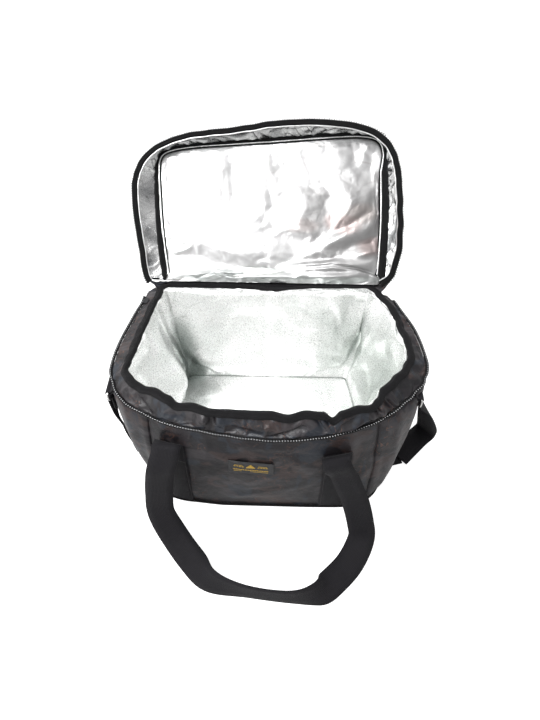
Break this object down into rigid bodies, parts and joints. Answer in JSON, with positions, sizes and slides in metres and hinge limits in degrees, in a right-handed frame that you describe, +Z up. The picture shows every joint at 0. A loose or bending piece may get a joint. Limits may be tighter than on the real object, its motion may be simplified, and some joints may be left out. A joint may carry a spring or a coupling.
{
  "type": "insulated cooler bag",
  "caption": "Soft insulated cooler bag with a zip-round lid standing open on its rear hinge, silver-lined inside, with webbing handles and a shoulder strap",
  "frame": {"origin": "on the floor under the base, on the bag's middle plane, 118 mm in front of the flat back wall", "axes": "+X to the bag's right as seen from the front, +Y from the front to the back, +Z up from the floor"},
  "size_m": [0.5343, 0.623, 0.4208],
  "materials": {
    "fabric": "satin",
    "foam": "matte",
    "silver": "satin",
    "trim": "matte",
    "webbing": "matte",
    "zip": "satin",
    "metal": "polished",
    "plastic": "satin",
    "label": "satin"
  },
  "bodies": {
    "bag": {"left_side_panel": "fabric", "right_side_panel": "fabric", "front_panel": "fabric", "back_panel": "fabric", "collar": "fabric", "base_panel": "fabric", "foam_left": "foam", "foam_right": "foam", "foam_front": "foam", "foam_back": "foam", "foam_base": "foam", "liner_walls": "silver", "liner_floor": "silver", "base_piping": "trim", "rim_binding": "trim", "hinge_strip": "trim", "front_anchor_left": "webbing", "front_anchor_right": "webbing", "back_anchor_left": "webbing", "back_anchor_right": "webbing", "ring_tab_right": "webbing", "ring_tab_left": "webbing", "strap_right": "webbing", "strap_left": "webbing", "strap_run": "webbing", "body_zip_tape": "zip", "body_zip_teeth": "zip", "ring_right": "metal", "ring_left": "metal", "front_label": "label"},
    "lid": {"lid_panel": "fabric", "lid_foam": "foam", "lid_lining": "silver", "lid_gusset": "fabric", "lid_gusset_lining": "silver", "lid_binding": "trim", "lid_hinge_flap": "trim", "lid_zip_tape": "zip", "lid_zip_teeth": "zip"},
    "front_handle": {"front_handle": "webbing"},
    "back_handle": {"back_handle": "webbing"},
    "slider_right": {"zip_slider_right": "metal"},
    "slider_left": {"zip_slider_left": "metal"},
    "pull_right": {"zip_pull_right": "metal"},
    "pull_left": {"zip_pull_left": "metal"},
    "adjuster": {"strap_adjuster": "plastic"}
  },
  "joints": [
    {"name": "lid_hinge", "type": "hinge", "parent": "bag", "child": "lid", "pos_m": [0, 0.122, 0.23], "axis": [1, 0, 0], "range_deg": [-40, 140]},
    {"name": "front_handle_swing", "type": "hinge", "parent": "bag", "child": "front_handle", "pos_m": [0, -0.14087, 0.153], "axis": [-1, 0, 0], "range_deg": [0, 138]},
    {"name": "back_handle_swing", "type": "hinge", "parent": "bag", "child": "back_handle", "pos_m": [0, 0.1225, 0.153], "axis": [1, 0, 0], "range_deg": [0, 55]},
    {"name": "slider_right_travel", "type": "slide", "parent": "bag", "child": "slider_right", "axis": [0.3717, -0.9243, -0.0862], "range_m": [0, 0.02]},
    {"name": "slider_left_travel", "type": "slide", "parent": "bag", "child": "slider_left", "axis": [-0.3717, -0.9243, -0.0862], "range_m": [0, 0.02]},
    {"name": "pull_right_swing", "type": "hinge", "parent": "slider_right", "child": "pull_right", "pos_m": [0.19107, 0.08973, 0.21042], "axis": [0.9278, 0.3731, 0], "range_deg": [-60, 60]},
    {"name": "pull_left_swing", "type": "hinge", "parent": "slider_left", "child": "pull_left", "pos_m": [-0.19107, 0.08973, 0.21042], "axis": [-0.9278, 0.3731, 0], "range_deg": [-60, 60]},
    {"name": "adjuster_slide", "type": "slide", "parent": "bag", "child": "adjuster", "axis": [-0.1463, 0.0971, 0.9845], "range_m": [0, 0.022]}
  ]
}
